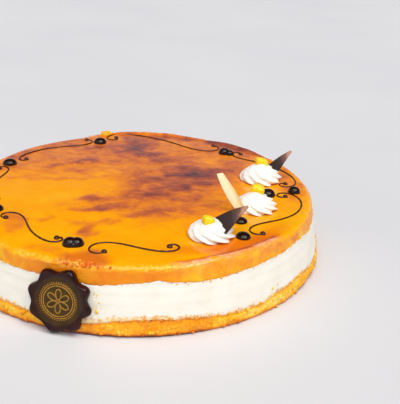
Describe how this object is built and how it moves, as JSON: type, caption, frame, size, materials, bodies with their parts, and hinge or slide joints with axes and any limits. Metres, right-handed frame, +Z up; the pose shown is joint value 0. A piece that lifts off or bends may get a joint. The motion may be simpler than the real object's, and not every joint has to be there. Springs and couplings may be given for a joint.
{
  "type": "cream layer cake",
  "caption": "Round cake of sponge and cream layers with a toasted yolk top, piped chocolate scrolls and drops, cream rosettes with fruit, and a chocolate seal.",
  "frame": {"origin": "centre of the flat underside, on the surface that the cake stands on", "axes": "+Z up through the cake; -Y towards the front, where the seal leans against the side; +X to the right, where the rosettes stand"},
  "size_m": [0.2652, 0.2671, 0.0671],
  "materials": {
    "sponge": "moist open crumb, matt",
    "whipped_cream": "smooth satin",
    "toasted_yolk_glaze": "glossy, scorched in patches",
    "dark_chocolate": "tempered gloss",
    "white_chocolate": "satin",
    "yellow_fruit": "wet gloss"
  },
  "bodies": {
    "root": {"base_sponge": "sponge", "cream_layer": "whipped_cream", "top_sponge": "toasted_yolk_glaze", "chocolate_seal": "dark_chocolate", "chocolate_drop_1": "dark_chocolate", "chocolate_drop_2": "dark_chocolate", "chocolate_drop_3": "dark_chocolate", "chocolate_drop_4": "dark_chocolate", "chocolate_drop_5": "dark_chocolate", "chocolate_drop_6": "dark_chocolate", "chocolate_drop_7": "dark_chocolate", "chocolate_drop_8": "dark_chocolate", "chocolate_drop_9": "dark_chocolate", "rosette_1": "whipped_cream", "rosette_2": "whipped_cream", "rosette_3": "whipped_cream", "fruit_wedge_1": "yellow_fruit", "fruit_wedge_2": "yellow_fruit", "fruit_wedge_3": "yellow_fruit", "chocolate_shard_1": "dark_chocolate", "chocolate_shard_2": "white_chocolate", "chocolate_shard_3": "dark_chocolate"}
  },
  "joints": []
}
